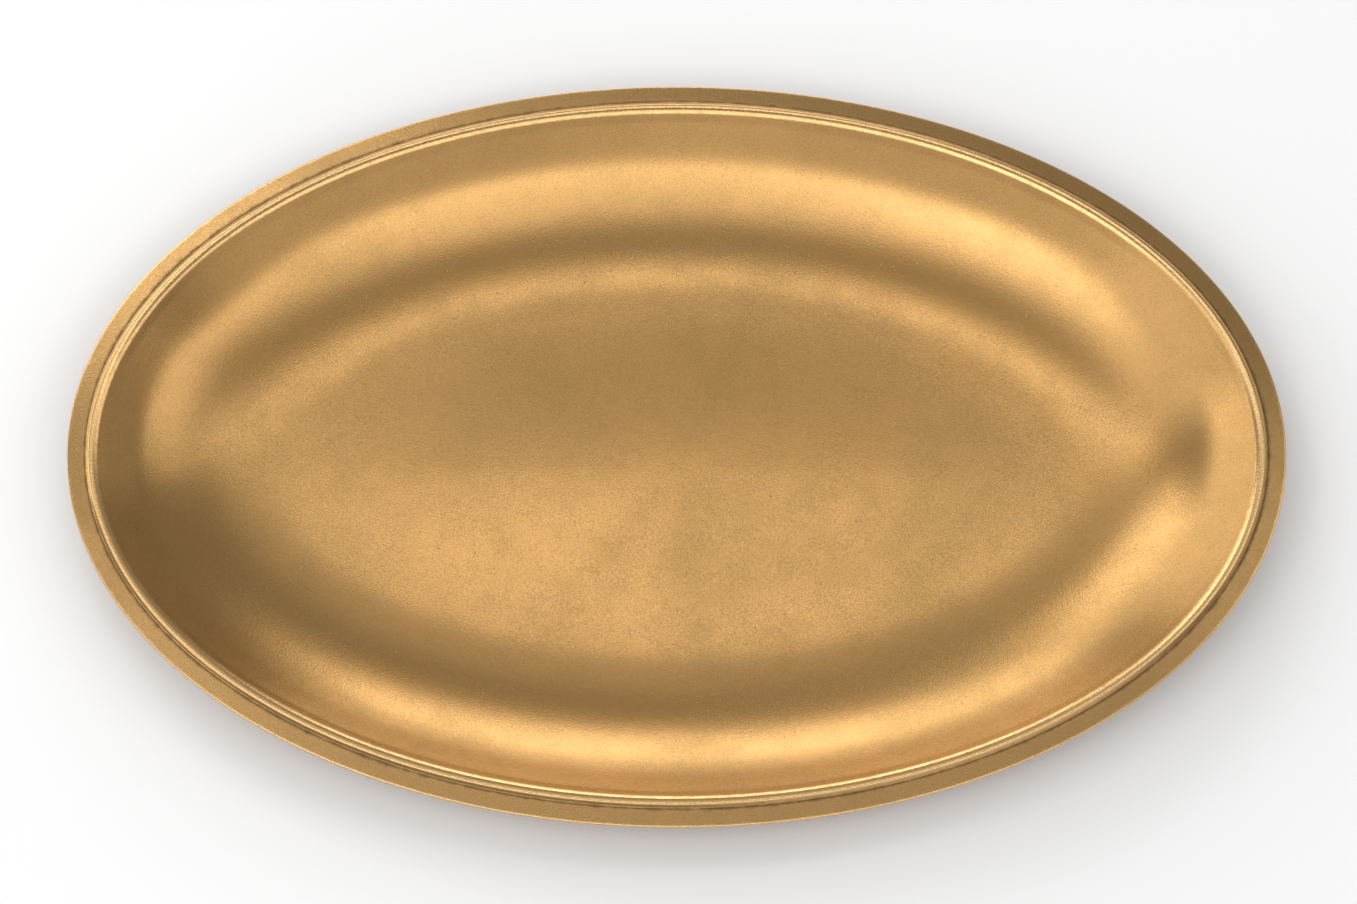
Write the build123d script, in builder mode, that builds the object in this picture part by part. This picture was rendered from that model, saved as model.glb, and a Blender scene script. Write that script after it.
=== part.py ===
"""Oval brass tray: a pressed pan with a rolled lip, a flat rim band lapped under the lip and
soldered to it, and four felt pads under the floor. Millimetres, +Z up. The origin is on the
resting surface under the tray's centre, X runs along the tray and Y across it."""

from build123d import *
import os
from math import asin, cos, radians, sin, tan

os.makedirs("parts", exist_ok=True)

# Overall sizes, to the rim band's outer edge
tray_length = 300.0
tray_width = 194.0
tray_depth = 16.0  # from the top of the lip down to the inside floor

# Pan: one pressed sheet
pan_sheet = 0.8
lip_land = 1.2  # flat part of the lip, which lies on the rim band
lip_radius = 3.7  # outside radius of the roll from the land into the wall
wall_slope = 36.0  # degrees below level
heel_radius = 24.0  # inside radius at the foot of the wall
heel_slope = 27.0  # degrees below level, where the heel passes into the wide sweep
floor_sweep = 70.0  # inside radius from the heel to the floor
pan_edge_round = 0.3

# Rim band: a flat oval ring, its border sloping down to the outside
band_sheet = 1.0
border_width = 4.5  # the part that shows outside the lip
border_slope = 10.0  # degrees below level
band_edge_round = 0.25

# Solder in the corner between the band's inner edge and the roll of the lip
seam_reach = 1.9

# Felt pads
pad_diameter = 14.0
pad_thickness = 1.5
pad_end_inset = 32.0  # pad centre from the end of the flat floor
pad_side_inset = 23.0  # pad centre from the side of the flat floor

# Heights
floor_top = pad_thickness + pan_sheet
lip_top = floor_top + tray_depth
band_top = lip_top - pan_sheet

# Distances inward from the outer edge, square to it
lip_start = border_width
roll_start = lip_start + lip_land
slope = radians(wall_slope)
heel = radians(heel_slope)
wall_start = roll_start + lip_radius * sin(slope)
roll_drop = lip_radius * (1 - cos(slope))
heel_rise = heel_radius * (cos(heel) - cos(slope))
sweep_rise = floor_sweep * (1 - cos(heel))
wall_drop = tray_depth - roll_drop - heel_rise - sweep_rise
wall_end = wall_start + wall_drop / tan(slope)
heel_centre = (wall_end + heel_radius * sin(slope), floor_top + sweep_rise + heel_radius * cos(heel))
floor_start = heel_centre[0] + (floor_sweep - heel_radius) * sin(heel)
sweep_centre = (floor_start, floor_top + floor_sweep)

# The sheet is swept this far over the flat floor, and the floor's plate overlaps half of it
floor_lap = 1.2

# Every swept section lies in this plane: x is the distance inward, y is the height
section = Plane(origin=(tray_length / 2, 0, 0), x_dir=(-1, 0, 0), z_dir=(0, 1, 0))

with BuildLine() as outer_edge:
    EllipticalCenterArc((0, 0), tray_length / 2, tray_width / 2, 0, arc_size=360)


# Tray pan: the lip, wall and floor sweep follow the outer edge, and a plate closes the floor
with BuildPart() as tray_pan:
    with BuildSketch(section):
        with BuildLine():
            Line((lip_start, lip_top), (roll_start, lip_top))
            roll = CenterArc((roll_start, lip_top - lip_radius), lip_radius, 90, -wall_slope)
            Line(roll @ 1, (wall_end, floor_top + sweep_rise + heel_rise))
            CenterArc(heel_centre, heel_radius, 270 - wall_slope, wall_slope - heel_slope)
            CenterArc(sweep_centre, floor_sweep, 270 - heel_slope, heel_slope)
            Line((floor_start, floor_top), (floor_start + floor_lap, floor_top))
            offset(amount=pan_sheet, side=Side.RIGHT)
        pan_section = make_face()
        fillet(pan_section.vertices().group_by(Axis.X)[0], pan_edge_round)
    sweep(path=outer_edge.wire())
    with BuildSketch(Plane.XY.offset(pad_thickness)):
        Ellipse(tray_length / 2, tray_width / 2)
        offset(amount=-(floor_start + floor_lap / 2), mode=Mode.REPLACE)
    extrude(amount=pan_sheet)
tray_pan.part.label = "tray_pan"
export_step(tray_pan.part, "parts/tray_pan.step")


# Rim band: a level margin under the lip's land, then the sloping border
with BuildPart() as rim_band:
    with BuildSketch(section):
        with BuildLine():
            Polyline(
                (roll_start, band_top),
                (lip_start, band_top),
                (0, band_top - border_width * tan(radians(border_slope))),
            )
            offset(amount=band_sheet, side=Side.LEFT, kind=Kind.INTERSECTION)
        band_section = make_face()
        fillet(band_section.vertices().sort_by(Axis.X)[:2], band_edge_round)
    sweep(path=outer_edge.wire())
rim_band.part.label = "rim_band"
export_step(rim_band.part, "parts/rim_band.step")


# Solder seam: fills the corner under the roll, from the band's inner edge inward. Its contact
# with the roll is a few chords, which leave at most a 0.02 mm gap
under_radius = lip_radius - pan_sheet
seam_turn = asin(seam_reach / under_radius)
seam_chords = 3
under_roll = []
for chord in range(seam_chords + 1):
    turn = seam_turn * chord / seam_chords
    under_roll.append((roll_start + under_radius * sin(turn), band_top - under_radius * (1 - cos(turn))))
with BuildPart() as solder_seam:
    with BuildSketch(section):
        with BuildLine():
            Polyline(*under_roll, (roll_start, band_top - band_sheet), close=True)
        make_face()
    sweep(path=outer_edge.wire())
solder_seam.part.label = "solder_seam"
export_step(solder_seam.part, "parts/solder_seam.step")


# Felt pads: stuck under the flat floor near its four corners
pad_x = tray_length / 2 - floor_start - pad_end_inset
pad_y = tray_width / 2 - floor_start - pad_side_inset
for side_name, y in (("front", -pad_y), ("back", pad_y)):
    for end_name, x in (("left", -pad_x), ("right", pad_x)):
        with BuildPart() as felt_pad:
            with BuildSketch(Plane((x, y, 0))):
                Circle(pad_diameter / 2)
            extrude(amount=pad_thickness)
        felt_pad.part.label = f"felt_pad_{side_name}_{end_name}"
        export_step(felt_pad.part, f"parts/{felt_pad.part.label}.step")
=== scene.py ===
# %% [markdown]
# # An oval brass tray
# This lesson builds a pressed brass tray in Blender: a pan with a rolled lip, a flat rim band
# soldered under the lip, the solder itself, and four felt pads. The CAD model is loaded first as
# a fixed frame, so every size and place below starts from it. All lengths are in metres.

# %% Load the frame
from math import atan2, cos, pi, radians, sin, sqrt, tan

import bpy
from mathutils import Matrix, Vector, noise


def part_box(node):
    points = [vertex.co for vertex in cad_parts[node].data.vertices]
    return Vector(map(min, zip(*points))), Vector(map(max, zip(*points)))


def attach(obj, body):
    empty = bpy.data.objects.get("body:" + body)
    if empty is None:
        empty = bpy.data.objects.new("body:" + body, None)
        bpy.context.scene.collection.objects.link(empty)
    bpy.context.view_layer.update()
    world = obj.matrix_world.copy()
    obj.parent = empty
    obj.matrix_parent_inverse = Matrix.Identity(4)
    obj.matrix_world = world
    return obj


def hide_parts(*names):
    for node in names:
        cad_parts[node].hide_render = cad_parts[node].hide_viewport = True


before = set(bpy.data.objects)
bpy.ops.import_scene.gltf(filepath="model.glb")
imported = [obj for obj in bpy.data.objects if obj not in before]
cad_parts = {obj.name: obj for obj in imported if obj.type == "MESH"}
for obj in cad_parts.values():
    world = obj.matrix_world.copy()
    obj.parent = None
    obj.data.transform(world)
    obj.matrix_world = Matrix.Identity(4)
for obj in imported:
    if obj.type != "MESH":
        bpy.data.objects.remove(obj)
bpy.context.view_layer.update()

# %% [markdown]
# ## The sizes of the tray
# A pressed tray is one profile carried round an oval. The overall length, width and heights are
# read from the CAD pieces. The sheet's thickness and the radii of the press tool are the
# design's own values, so they are written here once, by name.

# %% Measure the frame
MM = 0.001
band_low, band_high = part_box("rim_band")
pan_low, pan_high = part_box("tray_pan")
half_length = (band_high.x - band_low.x) / 2
half_width = (band_high.y - band_low.y) / 2
lip_top = pan_high.z
pan_base = pan_low.z

pan_sheet = 0.8 * MM
band_sheet = 1.0 * MM
border_width = 4.5 * MM
border_slope = radians(10)
lip_land = 1.2 * MM
lip_radius = 3.7 * MM
wall_slope = radians(36)
heel_radius = 24.0 * MM
heel_slope = radians(27)
sweep_radius = 70.0 * MM

floor_top = pan_base + pan_sheet
band_top = lip_top - pan_sheet
roll_start = border_width + lip_land
wall_start = roll_start + lip_radius * sin(wall_slope)
roll_drop = lip_radius * (1 - cos(wall_slope))
heel_rise = heel_radius * (cos(heel_slope) - cos(wall_slope))
sweep_rise = sweep_radius * (1 - cos(heel_slope))
wall_drop = lip_top - floor_top - roll_drop - heel_rise - sweep_rise
wall_end = wall_start + wall_drop / tan(wall_slope)
heel_end = wall_end + heel_radius * (sin(wall_slope) - sin(heel_slope))
floor_start = heel_end + sweep_radius * sin(heel_slope)
print(f"oval {2 * half_length:.4f} by {2 * half_width:.4f}")
print(f"flat floor starts {floor_start:.4f} in from the edge")

# %% [markdown]
# ## Rings round the oval
# A press tool's wall keeps the same profile all the way round, so each ring is parallel to the
# rim: it starts on the ellipse and steps inward, square to it. Scaling the ellipse instead would
# make the border wider at the ends than at the sides. A lathe (the Screw modifier) only makes
# round trays, and a bevelled curve gives no say over the mesh, so the rings are worked out here.

# %% Rings parallel to the rim
AROUND = 384


def rim_point(step):
    """Point on the tray's outline and the outward direction there."""
    turn = 2 * pi * step / AROUND
    outward = Vector((half_width * cos(turn), half_length * sin(turn), 0)).normalized()
    return Vector((half_length * cos(turn), half_width * sin(turn), 0)), outward


def ring(inward, height):
    """One ring parallel to the outline, at this distance inward and this height."""
    points = []
    for step in range(AROUND):
        edge, outward = rim_point(step)
        points.append(edge - outward * inward + Vector((0, 0, height)))
    return points


girth = sum((a - b).length for a, b in zip(ring(0, 0), ring(0, 0)[1:]))
print(f"the rim is about {girth:.3f} round, {girth / AROUND * 1000:.1f} mm a step")

# %% [markdown]
# ## A skin over the rings
# Neighbouring rings are joined by four-sided faces. A pan is closed at the middle of its floor by
# a pole on each side of the sheet, and a band closes on itself. Each ring also carries two marks,
# one for how much hands and cloths have worn the metal there, and one for dirt together with
# painted shade, which darkens the joints, creases and undersides where shade falls. They are stored
# on the mesh as attributes, which a material can read by name, so the wear follows the real edges
# and not a random pattern.

# %% Skin and marks


def skin(name, rings, worn, grime_and_shade_marks, poles=()):
    """A mesh over the rings in order, with a wear mark and a grime-and-painted-shade mark for each
    ring.
    """
    points = [p for one in rings for p in one]
    pairs = list(zip(range(len(rings)), range(1, len(rings))))
    if not poles:
        pairs.append((len(rings) - 1, 0))
    faces = []
    for lower, upper in pairs:
        for step in range(AROUND):
            after = (step + 1) % AROUND
            a, b = lower * AROUND, upper * AROUND
            faces.append((a + step, a + after, b + after, b + step))
    if poles:
        first, last = len(points), len(points) + 1
        points += list(poles)
        end = (len(rings) - 1) * AROUND
        for step in range(AROUND):
            after = (step + 1) % AROUND
            faces.append((first, after, step))
            faces.append((last, end + step, end + after))
    mesh = bpy.data.meshes.new(name)
    mesh.from_pydata(points, [], faces)
    mesh.polygons.foreach_set("use_smooth", [True] * len(mesh.polygons))
    # The second mark is both grime and painted shade.
    for label, marks in (("wear", worn), ("grime_and_shade", grime_and_shade_marks)):
        layer = mesh.attributes.new(label, "FLOAT", "POINT")
        values = [mark for mark in marks for _ in range(AROUND)] + [0.0] * len(poles)
        layer.data.foreach_set("value", values)
    mesh.update()
    piece = bpy.data.objects.new(name, mesh)
    bpy.context.scene.collection.objects.link(piece)
    print(name, len(mesh.vertices), "points", len(mesh.polygons), "faces")
    return piece


def arc(centre_in, centre_z, radius, start, end, steps):
    """Profile points on an arc. Angles are turned from straight up, towards the tray's middle."""
    points = []
    for i in range(steps + 1):
        angle = start + (end - start) * i / steps
        points.append((centre_in + radius * sin(angle), centre_z + radius * cos(angle)))
    return points


# %% [markdown]
# ## The pan's profile
# The pan is one sheet of brass, pressed between two tools. From the edge inward it has a flat
# land, a roll over the lip, a short sloping wall, a heel, a wide sweep and the floor. The
# underside is the same profile one sheet lower, so the roll is tighter there.
#
# A circle that runs straight into a flat still shows in a reflection: the slope is continuous,
# but the bend starts all at once, and polished metal draws a line there. Real sheet eases into
# the bend. So the bend is spread over a few millimetres at each join: the slope is blurred
# along the profile, and the height is added up again from the blurred slope.

# %% Lip, wall and sweep
EASE = 4.0 * MM
EASE_SPREAD = 6  # samples on each side of the middle one
PROFILE_STEP = 0.25 * MM


def pressed_slope(inward):
    """Tangent of the slope of the drawing-board profile: wall, heel, sweep or floor."""
    if inward <= wall_end:
        return tan(wall_slope)
    if inward >= floor_start:
        return 0.0
    share = (floor_start - inward) / sweep_radius
    if inward < heel_end:
        share = sin(heel_slope) + (heel_end - inward) / heel_radius
    return share / sqrt(1 - share * share)


def eased_slope(inward):
    """The same slope averaged over the ease, which shrinks to nothing near the roll."""
    reach = min(EASE, max(0.0, inward - wall_start))
    offsets = range(-EASE_SPREAD, EASE_SPREAD + 1)
    spots = [inward + reach * k / EASE_SPREAD for k in offsets]
    weights = [cos(k / (EASE_SPREAD + 1) * pi / 2) ** 2 for k in offsets]
    return sum(w * pressed_slope(x) for w, x in zip(weights, spots)) / sum(weights)


def eased_heights():
    """Height of the inside surface above the floor, from the floor's start out to the wall."""
    spots = []
    height = 0.0
    inward = floor_start + EASE
    while inward > wall_start:
        spots.append((inward, height))
        height += eased_slope(inward - PROFILE_STEP / 2) * PROFILE_STEP
        inward -= PROFILE_STEP
    return spots, height


sweep_line, sweep_top = eased_heights()
stretch = (lip_top - roll_drop - floor_top) / sweep_top
floor_edge = floor_start + EASE


def sheet_profile(depth):
    """Lip, wall and sweep, from the lip inward, on the surface this far below the top one."""
    points = arc(roll_start, lip_top - lip_radius, lip_radius - depth, 0, wall_slope, 16)
    for inward, height in reversed(sweep_line[::3]):
        if inward > wall_start + 0.6 * MM:
            tilt = atan2(eased_slope(inward) * stretch, 1)
            across = inward - sin(tilt) * depth
            points.append((across, floor_top + height * stretch - cos(tilt) * depth))
    return points


print(len(sheet_profile(0)), "profile points on each side of the sheet")
print(f"the eased sweep is stretched in height by {stretch:.4f}")

# %% [markdown]
# ## The floor
# A pressed floor isn't dead flat. The sheet springs back a little when the tool opens, which
# leaves a very low crown. The CAD floor is flat, so the crown is added here for the looks. It is
# little more than a millimetre high, but it tilts the floor by up to three degrees, and that makes
# the near half mirror another part of the room than the far half does. The crown starts level at
# the floor's edge, so it leaves no line there.

# %% Floor rings with a low crown
crown = 1.3 * MM
FLOOR_RINGS = 26


def floor_rings(depth):
    """Rings that shrink from the floor's edge towards the middle, rising with the crown."""
    outer = ring(floor_edge, 0)
    rings = []
    for i in range(1, FLOOR_RINGS):
        share = 1 - i / FLOOR_RINGS
        height = floor_top - depth + crown * (1 - share**2) ** 2
        rings.append([Vector((p.x * share, p.y * share, height)) for p in outer])
    return rings


print(f"crown {crown * 1000:.1f} mm over {len(floor_rings(0))} rings")

# %% [markdown]
# ## The pan
# The sheet's cut edge was dressed down with a file and then tumbled, so it isn't a step. It
# rises from the rim band in a soft flank, hollow at its foot and round at its top, and with the
# roll it makes the lip look like one bead. Wear is set where a hand or a cloth rubs: on the top
# of the lip. The grime mark, which is both dirt and painted shade, is set where neither reaches
# and where shade falls: at the foot of the flank, in the joint, and more weakly over the underside.

# %% Build the pan
flank_width = 1.1 * MM
flank_foot = 0.05 * MM
FLANK_ROWS = 12
lip_edge = []
for i in range(FLANK_ROWS):
    up = i / FLANK_ROWS
    rise = (3 * up**2 - 2 * up**3) * 0.8 + up * 0.2
    height = band_top + flank_foot + (pan_sheet - flank_foot) * rise
    lip_edge.append((border_width + flank_width * up, height))
lip_under = [(border_width + 0.02 * MM, band_top)]


def rubbed(points):
    """Wear on the lip: full on the land and the top of the roll, fading down the wall."""
    marks = []
    for inward, height in points:
        below = (lip_top - height) / MM
        marks.append(max(0.0, 1 - below / 1.1) if inward < wall_start else 0.0)
    return marks


top_profile = lip_edge + sheet_profile(0)
low_profile = lip_under + sheet_profile(pan_sheet)
top_rings = [ring(x, z) for x, z in top_profile] + floor_rings(0)
low_rings = [ring(x, z) for x, z in low_profile] + floor_rings(pan_sheet)
top_wear = rubbed(top_profile) + [0.0] * (FLOOR_RINGS - 1)
# The pan's grime mark is dirt and painted shade: darkest at the foot of the flank, in the joint, and
# at 0.45 over the whole underside.
top_grime_and_shade = [1.0, 0.8, 0.6, 0.4, 0.25, 0.1] + [0.0] * (len(top_rings) - 6)
low_grime_and_shade = [1.0] + [0.45] * (len(low_rings) - 1)
pan_poles = (Vector((0, 0, floor_top + crown)), Vector((0, 0, pan_base + crown)))
pan = skin(
    "pan_sheet_brass",
    top_rings[::-1] + low_rings,
    top_wear[::-1] + [0.0] * len(low_rings),
    top_grime_and_shade[::-1] + low_grime_and_shade,
    pan_poles,
)

# %% [markdown]
# ## The rim band
# The band is a flat oval ring. Its inner margin lies level under the lip's land, and its border
# slopes a little down to the outside. Its cut edges are rounded by the tumbling as well. Its
# outer corner is the most rubbed part of the whole tray, and the strip next to the lip is where
# polish and dust dry up and where painted shade darkens the joint, so the two marks run from one
# to the other across the border. The band's underside gets some of the painted shade as well.

# %% Build the rim band
band_round = 0.25 * MM
down = Vector((sin(border_slope), -cos(border_slope)))
along = Vector((cos(border_slope), sin(border_slope)))
corner = Vector((0, band_top - border_width * tan(border_slope)))
upper = corner + (down + along) * band_round
lower = corner + down * (band_sheet - band_round) + along * band_round
turned_in = pi / 2 - border_slope
band_profile = [(roll_start, band_top - band_sheet)]
band_profile += [(border_width + band_sheet * tan(border_slope / 2), band_top - band_sheet)]
band_profile += arc(lower.x, lower.y, -band_round, -border_slope, turned_in, 5)
band_profile += arc(upper.x, upper.y, -band_round, turned_in, turned_in + pi / 2, 5)
for part in (0.12, 0.3, 0.55, 0.8, 0.93):
    band_profile.append(
        (border_width * part, band_top - border_width * (1 - part) * tan(border_slope))
    )
band_profile += [(border_width, band_top), (roll_start, band_top)]
band_wear = [0.0] * 4 + [0.5] * 4 + [0.9] * 3 + [1.0] * 3 + [0.45, 0.1] + [0.0] * 5
# The band's grime mark is dirt and painted shade: 0.5 under the band, 0.4 round its lower outer
# edge, and rising across the border to full under the lip.
band_grime_and_shade = [0.5] * 2 + [0.4] * 6 + [0.1] * 6 + [0.0, 0.0, 0.1, 0.35, 0.7, 1.0, 1.0]
band = skin("rim_band_brass", [ring(x, z) for x, z in band_profile], band_wear, band_grime_and_shade)

# %% [markdown]
# ## The solder
# The two sheets are joined by a line of solder in the corner under the roll, from the band's
# inner edge to the underside of the lip. It isn't seen from above, but a tray is turned over to
# be cleaned. Its face is a shallow hollow that was wiped while hot, so its width wavers.

# %% Build the solder fillet
under_radius = lip_radius - pan_sheet
seam_turn = radians(40.5)
seam_profile = arc(roll_start, band_top - under_radius, under_radius, 0, seam_turn, 6)
tip = Vector(seam_profile[-1])
root = Vector((roll_start, band_top - band_sheet))
for part in (0.25, 0.5, 0.75, 0.97):
    hollow = Vector((-0.10, 0.16)) * MM * 4 * part * (1 - part)
    seam_profile.append(tuple(tip.lerp(root, part) + hollow))
seam_rings = [ring(x, z) for x, z in seam_profile]
WIPED_ROWS = (7, 8, 9)
waver_scale = 220
waver_depth = 0.09 * MM
for step in range(AROUND):
    for row in WIPED_ROWS:
        place = seam_rings[row][step]
        waver = noise.noise(place * waver_scale) * waver_depth
        place.z += waver * (1 if waver > 0 else 0.3)
# This mark carries grime and painted shade for the joint, but the solder's finish doesn't read it.
seam_grime_and_shade = [0.0] * 7 + [0.5] * 4
solder = skin("solder_fillet", seam_rings, [0.0] * len(seam_rings), seam_grime_and_shade)

# %% [markdown]
# ## The felt pads
# Four discs of wool felt are stuck under the floor, so the tray doesn't scratch a table. A
# punched felt disc has a soft edge: the fibres at the rim spring out a little and the face is
# never quite flat. Each disc is a stack of rings with a bulging rim, and a small seeded noise
# moves its points. Its upper face stays flat, because glue holds it to the brass.

# %% Build the felt pads
PAD_AROUND = 72
pad_rows = [(0.30, 1), (0.62, 1), (0.86, 1), (0.955, 0.97), (0.99, 0.8), (1.0, 0.5), (0.985, 0.2)]
pad_rows += [(0.945, 0.04), (0.86, 0.0), (0.62, 0.0), (0.30, 0.0)]


def felt_disc(node):
    """A soft-edged felt disc in the place of one CAD pad."""
    low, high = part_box(node)
    middle = (low + high) / 2
    reach = (high.x - low.x) / 2
    thick = high.z - low.z
    points = []
    for share, level in pad_rows:
        for step in range(PAD_AROUND):
            turn = 2 * pi * step / PAD_AROUND
            spot = Vector((cos(turn), sin(turn), 0)) * reach * share
            spot += Vector((middle.x, middle.y, low.z + thick * level))
            fuzz = noise.noise(spot * 1400) * 0.05 + noise.noise(spot * 420) * 0.04 - 0.09
            if share > 0.9:
                spot += Vector((cos(turn), sin(turn), 0)) * fuzz * 2 * MM
            if level < 0.1:
                spot.z += abs(fuzz) * 0.5 * MM
            points.append(spot)
    faces = []
    for row in range(len(pad_rows) - 1):
        for step in range(PAD_AROUND):
            after = (step + 1) % PAD_AROUND
            a, b = row * PAD_AROUND, (row + 1) * PAD_AROUND
            faces.append((a + step, b + step, b + after, a + after))
    faces.append(tuple(range(PAD_AROUND)))
    last = (len(pad_rows) - 1) * PAD_AROUND
    faces.append(tuple(range(last + PAD_AROUND - 1, last - 1, -1)))
    mesh = bpy.data.meshes.new(node + "_felt")
    mesh.from_pydata(points, [], faces)
    mesh.polygons.foreach_set("use_smooth", [True] * len(mesh.polygons))
    disc = bpy.data.objects.new(node + "_felt", mesh)
    bpy.context.scene.collection.objects.link(disc)
    return disc


pad_nodes = [f"felt_pad_{y}_{x}" for y in ("front", "back") for x in ("left", "right")]
pads = {node: felt_disc(node) for node in pad_nodes}
print("felt pads:", ", ".join(disc.name for disc in pads.values()))

# %% [markdown]
# ## Helpers for the finishes
# A procedural finish is a small graph of nodes. These helpers add one node each and return the
# socket that comes out of it, so a finish below reads as a list of steps. Textures use object
# coordinates: every piece sits at the origin and is in metres, so a noise with scale 1000 has
# features of about 1 mm, whichever piece it is on.

# %% Node helpers


class Finish:
    """A material under construction, with one method for each kind of step."""

    def __init__(self, name):
        self.material = bpy.data.materials.new(name)
        self.material.use_nodes = True
        self.tree = self.material.node_tree
        self.shader = self.tree.nodes["Principled BSDF"]
        self.place = self.tree.nodes.new("ShaderNodeTexCoord").outputs["Object"]

    def put(self, socket, value):
        """Link a socket, or set a plain value."""
        if isinstance(value, bpy.types.NodeSocket):
            self.tree.links.new(value, socket)
        else:
            socket.default_value = value

    def cloud(self, size, detail=2.0, rough=0.5):
        """Noise with features of about this size, from 0 to 1."""
        node = self.tree.nodes.new("ShaderNodeTexNoise")
        self.put(node.inputs["Vector"], self.place)
        node.inputs["Scale"].default_value = 1 / size
        node.inputs["Detail"].default_value = detail
        node.inputs["Roughness"].default_value = rough
        return node.outputs["Fac"]

    def window(self, value, low, high, to_low=0.0, to_high=1.0):
        """Stretch the part from low to high smoothly over a new range."""
        node = self.tree.nodes.new("ShaderNodeMapRange")
        node.interpolation_type = "SMOOTHSTEP"
        self.put(node.inputs["Value"], value)
        node.inputs["From Min"].default_value = low
        node.inputs["From Max"].default_value = high
        node.inputs["To Min"].default_value = to_low
        node.inputs["To Max"].default_value = to_high
        return node.outputs["Result"]

    def maths(self, kind, one, two):
        """Arithmetic on two values: ADD, SUBTRACT or MULTIPLY."""
        node = self.tree.nodes.new("ShaderNodeMath")
        node.operation = kind
        self.put(node.inputs[0], one)
        self.put(node.inputs[1], two)
        return node.outputs["Value"]

    def blend(self, amount, one, two):
        """Mix two colours."""
        node = self.tree.nodes.new("ShaderNodeMix")
        node.data_type = "RGBA"
        node.clamp_factor = True
        self.put(node.inputs[0], amount)
        self.put(node.inputs[6], one)
        self.put(node.inputs[7], two)
        return node.outputs[2]

    def mark(self, label):
        """One of the marks painted on the mesh."""
        node = self.tree.nodes.new("ShaderNodeAttribute")
        node.attribute_name = label
        return node.outputs["Fac"]

    def relief(self, height, distance, under=None):
        """Raise the surface by this height map, on top of another relief."""
        node = self.tree.nodes.new("ShaderNodeBump")
        node.inputs["Distance"].default_value = distance
        node.inputs["Strength"].default_value = 1.0
        self.put(node.inputs["Height"], height)
        if under is not None:
            self.put(node.inputs["Normal"], under)
        return node.outputs["Normal"]


# %% [markdown]
# ## Tumbled brass
# After pressing, a tray like this is tumbled with small stones until the whole face has a fine
# even grain, and then left to age. So there are four scales: patina in clouds of 30 to 50 mm,
# blotches of a few millimetres, the grain of about 0.4 mm, and dark specks where the patina has
# bitten in. Each moves the colour and the roughness together, because a tarnished spot is both
# darker and duller. The marks on the mesh then polish the edges, and darken the joint and the
# undersides with grime and painted shade.

# %% Brass for pan and band


def tumbled_brass(name, clean, patina, roughness, speck_share, grain_depth):
    """Satin brass with patina clouds, grain, specks, worn edges, and grime with painted shade in the
    joint and underneath.
    """
    made = Finish(name)
    drift = made.window(made.cloud(45 * MM, 3, 0.55), 0.35, 0.68)
    blotch = made.window(made.cloud(7 * MM, 4, 0.6), 0.36, 0.66)
    grain = made.cloud(0.42 * MM, 2, 0.6)
    fine = made.cloud(0.9 * MM, 3, 0.7)
    patch = made.window(made.cloud(16 * MM, 2, 0.6), 0.38, 0.62)
    wear = made.mark("wear")
    grime_and_shade = made.mark("grime_and_shade")
    frayed = made.window(made.maths("ADD", wear, made.cloud(2.5 * MM, 4, 0.7)), 0.75, 1.35)
    # The grime mark with noise: dirt and painted shade in the joint and on the undersides.
    caked_and_shaded = made.window(made.maths("ADD", grime_and_shade, made.cloud(3.5 * MM, 4, 0.7)), 0.8, 1.5)

    aged = made.maths("ADD", made.maths("MULTIPLY", drift, 0.5), made.maths("MULTIPLY", blotch, 0.2))
    aged = made.maths("ADD", aged, made.window(grain, 0.3, 0.7, -0.3, 0.3))
    colour = made.blend(aged, clean, patina)
    bitten = made.window(fine, 0.66 - speck_share, 0.76 - speck_share)
    bitten = made.maths("MULTIPLY", bitten, made.window(patch, 0.0, 1.0, 0.25, 1.0))
    bitten = made.maths("MULTIPLY", bitten, 0.62)
    colour = made.blend(bitten, colour, (0.17, 0.105, 0.045, 1))
    colour = made.blend(made.maths("MULTIPLY", frayed, 0.55), colour, (0.86, 0.56, 0.26, 1))
    # Painted shade and grime: this mask darkens the colour towards a near-black brown.
    colour = made.blend(made.maths("MULTIPLY", caked_and_shaded, 0.8), colour, (0.12, 0.075, 0.035, 1))
    made.put(made.shader.inputs["Base Color"], colour)

    dull = made.maths("ADD", roughness, made.maths("MULTIPLY", aged, 0.07))
    dull = made.maths("ADD", dull, made.maths("MULTIPLY", bitten, 0.15))
    dull = made.maths("SUBTRACT", dull, made.maths("MULTIPLY", frayed, 0.06))
    dull = made.maths("ADD", dull, made.maths("MULTIPLY", caked_and_shaded, 0.3))
    made.put(made.shader.inputs["Roughness"], dull)
    made.put(made.shader.inputs["Metallic"], 1.0)

    swell = made.relief(made.cloud(11 * MM, 2, 0.5), 0.018 * MM)
    pores = made.relief(grain, grain_depth, swell)
    pits = made.relief(made.maths("MULTIPLY", bitten, -1.0), 0.02 * MM, pores)
    made.put(made.shader.inputs["Normal"], pits)
    return made.material


pan_brass = tumbled_brass(
    "pan_brass", (0.56, 0.322, 0.116, 1), (0.41, 0.24, 0.086, 1), 0.22, 0.01, 0.022 * MM
)
band_brass = tumbled_brass(
    "band_brass", (0.50, 0.295, 0.112, 1), (0.34, 0.207, 0.08, 1), 0.27, 0.02, 0.026 * MM
)
pan.data.materials.append(pan_brass)
band.data.materials.append(band_brass)
print("brass nodes:", len(pan_brass.node_tree.nodes))

# %% [markdown]
# ## Wiped solder
# Brass-coloured solder cools duller and greyer than the sheet. The wipe leaves it lumpy at a
# scale of a few millimetres, with flux stains where it was hottest.

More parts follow.
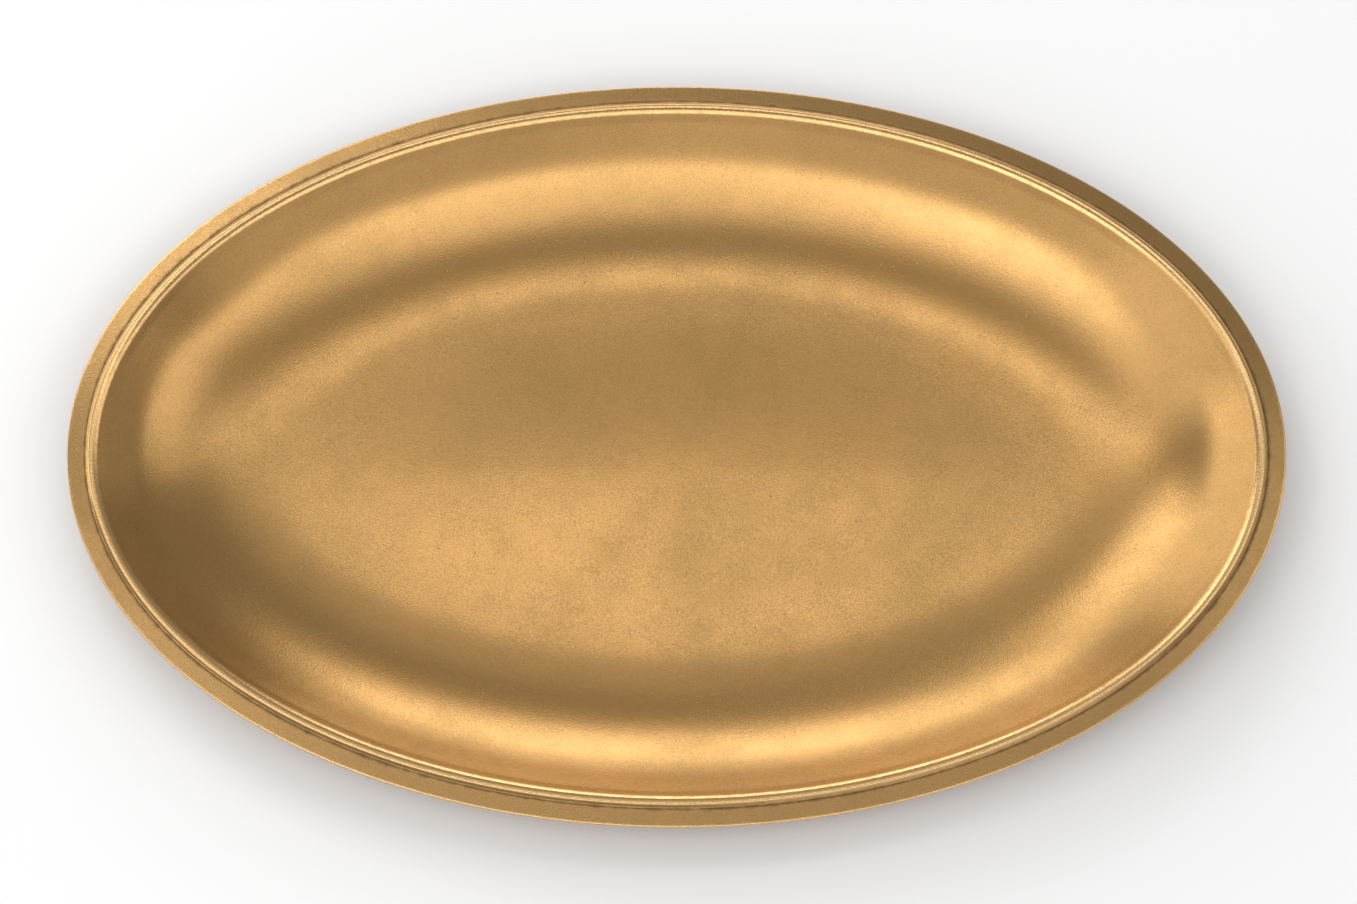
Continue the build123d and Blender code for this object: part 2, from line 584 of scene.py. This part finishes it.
# %% Solder finish
wiped = Finish("wiped_solder")
lumps = wiped.cloud(4 * MM, 3, 0.6)
flux = wiped.window(wiped.cloud(9 * MM, 4, 0.65), 0.45, 0.7)
tone = wiped.blend(wiped.window(lumps, 0.3, 0.7), (0.40, 0.31, 0.18, 1), (0.52, 0.43, 0.28, 1))
tone = wiped.blend(wiped.maths("MULTIPLY", flux, 0.6), tone, (0.13, 0.085, 0.045, 1))
wiped.put(wiped.shader.inputs["Base Color"], tone)
wiped.put(wiped.shader.inputs["Metallic"], 1.0)
wiped.put(wiped.shader.inputs["Roughness"], wiped.window(flux, 0.0, 1.0, 0.38, 0.6))
wiped.put(wiped.shader.inputs["Normal"], wiped.relief(lumps, 0.12 * MM))
solder.data.materials.append(wiped.material)
print("solder nodes:", len(wiped.tree.nodes))

# %% [markdown]
# ## Wool felt
# Pressed felt has no weave. Its fibres lie every way, so its look comes from two noises: fine
# fibre ends of about 0.3 mm and soft clumps of 2 mm. A little sheen gives the pale halo that loose
# fibres have at a glancing angle.

# %% Felt finish
felt = Finish("wool_felt")
fibres = felt.cloud(0.32 * MM, 3, 0.7)
clumps = felt.cloud(2.2 * MM, 3, 0.6)
dye = felt.blend(felt.window(clumps, 0.3, 0.7), (0.050, 0.038, 0.030, 1), (0.085, 0.066, 0.052, 1))
pale = felt.maths("MULTIPLY", felt.window(fibres, 0.55, 0.75), 0.55)
dye = felt.blend(pale, dye, (0.17, 0.14, 0.115, 1))
felt.put(felt.shader.inputs["Base Color"], dye)
felt.put(felt.shader.inputs["Roughness"], felt.window(fibres, 0.3, 0.7, 0.85, 1.0))
felt.shader.inputs["Sheen Weight"].default_value = 0.35
felt.shader.inputs["Sheen Roughness"].default_value = 0.5
felt.shader.inputs["Specular IOR Level"].default_value = 0.2
matted = felt.relief(clumps, 0.25 * MM)
felt.put(felt.shader.inputs["Normal"], felt.relief(fibres, 0.10 * MM, matted))
for disc in pads.values():
    disc.data.materials.append(felt.material)
print("felt nodes:", len(felt.tree.nodes))

# %% [markdown]
# ## Tie the pieces to the frame
# Each piece stands for one CAD node, which stays for collision but isn't drawn. A tray has no
# moving parts, so every piece rides on the root body.

# %% Replace and ride
stands_for = {
    pan: ("tray_pan", "pan_brass"),
    band: ("rim_band", "band_brass"),
    solder: ("solder_seam", "solder"),
}
for node, disc in pads.items():
    stands_for[disc] = (node, "felt")
for piece, (node, slot) in stands_for.items():
    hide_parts(node)
    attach(piece, "root")
print(len(stands_for), "pieces ride on root")

# %% [markdown]
# ## The camera
# A tray on a table is seen from a standing height, so the camera looks down at 70 degrees, from
# far enough away that the oval's two halves look alike. A long lens then fills the frame.

# %% Camera
view_elevation = radians(70)
view_distance = 2.5
aim_right = 0.46 * MM
aim_drop = 1.5 * MM
lens_length = 269.74
sensor_width = 36
aim = Vector((aim_right, 0, lip_top - aim_drop))
back = Vector((0, -cos(view_elevation), sin(view_elevation)))
camera = bpy.data.objects.new("camera", bpy.data.cameras.new("camera"))
bpy.context.scene.collection.objects.link(camera)
camera.location = aim + back * view_distance
camera.rotation_euler = back.to_track_quat("Z", "Y").to_euler()
camera.data.lens = lens_length
camera.data.sensor_width = sensor_width
bpy.context.scene.camera = camera
print("camera at", [round(v, 3) for v in camera.location])

# %% [markdown]
# ## The studio floor
# A plain pale floor gives the tray something to stand on and throws light back up under its
# border. It is matt, with a very faint mottle like painted board.

# %% Floor
floor_reach = 4.0
floor_signs = ((-1, -1), (1, -1), (1, 1), (-1, 1))
floor_corners = [(x * floor_reach, y * floor_reach, 0) for x, y in floor_signs]
floor_mesh = bpy.data.meshes.new("studio_floor")
floor_mesh.from_pydata(floor_corners, [], [(0, 1, 2, 3)])
studio_floor = bpy.data.objects.new("studio_floor", floor_mesh)
bpy.context.scene.collection.objects.link(studio_floor)
board = Finish("painted_board")
board_tone = board.window(board.cloud(0.3, 2, 0.5), 0.3, 0.7, 0.93, 0.95)
board.put(board.shader.inputs["Base Color"], board_tone)
board.shader.inputs["Roughness"].default_value = 1.0
board.shader.inputs["Specular IOR Level"].default_value = 0.0
floor_mesh.materials.append(board.material)

# %% [markdown]
# ## Soft studio light
# Bare metal shows little more than what it reflects, tinted by its own colour. So it is lit with
# softboxes that have gaps between them. Each box here is given by where it stands round the tray,
# how high, how large and how bright, and all stand equally far off. The brightest ones are behind
# the tray: two at the back left and one straight behind. A thin strip hangs almost overhead, and a
# large bank reaches over from the front. Between the box behind and the strip is only a dim one,
# and the far half of the floor mirrors that gap as a darker tone. The rest are weaker fills.

# %% Softboxes
tray_middle = Vector((0, 0, lip_top))
BOX_DISTANCE = 1.4


def softbox(name, azimuth, elevation, width, height, brightness):
    """An area light that faces the tray. Azimuth 0 is behind the tray and 90 is to its right."""
    turn = radians(azimuth)
    rise = radians(elevation)
    towards = Vector((sin(turn) * cos(rise), cos(turn) * cos(rise), sin(rise)))
    data = bpy.data.lights.new(name, "AREA")
    data.shape = "RECTANGLE"
    data.size = width
    data.size_y = height
    data.energy = brightness * pi * width * height
    lamp = bpy.data.objects.new(name, data)
    bpy.context.scene.collection.objects.link(lamp)
    lamp.location = tray_middle + towards * BOX_DISTANCE
    lamp.rotation_euler = towards.to_track_quat("Z", "Y").to_euler()
    lamp.visible_camera = False
    print(f"{name}: {data.energy:.1f} W")


softbox("key_low", -56, 19, 1.5, 0.85, 1.35)
softbox("key_high", -31, 43, 0.55, 0.4, 2.6)
softbox("key_side", -105, 35, 1.05, 0.7, 0.95)
softbox("back_box", -2, 25, 0.7, 0.42, 2.4)
softbox("back_low", -2, 8, 0.9, 0.35, 1.2)
softbox("back_high", -8, 62, 0.8, 0.4, 0.3)
softbox("left_high", -112, 62, 1.1, 0.6, 0.9)
softbox("front_left", -155, 48, 1.0, 0.9, 0.5)
softbox("front_right", 150, 48, 1.2, 0.9, 0.4)
softbox("top_strip", 0, 76, 1.2, 0.2, 1.9)
softbox("front_top", 180, 67, 1.5, 0.64, 1.25)
softbox("right_box", 84, 50, 0.9, 0.6, 1.1)
softbox("right_low", 80, 14, 1.2, 0.6, 0.2)
softbox("front_low", 150, 18, 1.2, 0.6, 0.35)

# %% [markdown]
# ## The studio's own light
# Walls and ceiling give back a little light from everywhere, so no part of the metal mirrors
# pure black.

# %% World
room_glow = 0.33
world = bpy.data.worlds.new("studio")
bpy.context.scene.world = world
world.use_nodes = True
backdrop = world.node_tree.nodes["Background"]
backdrop.inputs["Color"].default_value = (1, 1, 1, 1)
backdrop.inputs["Strength"].default_value = room_glow
print("room glow:", room_glow)
bpy.context.scene.view_settings.view_transform = "Standard"
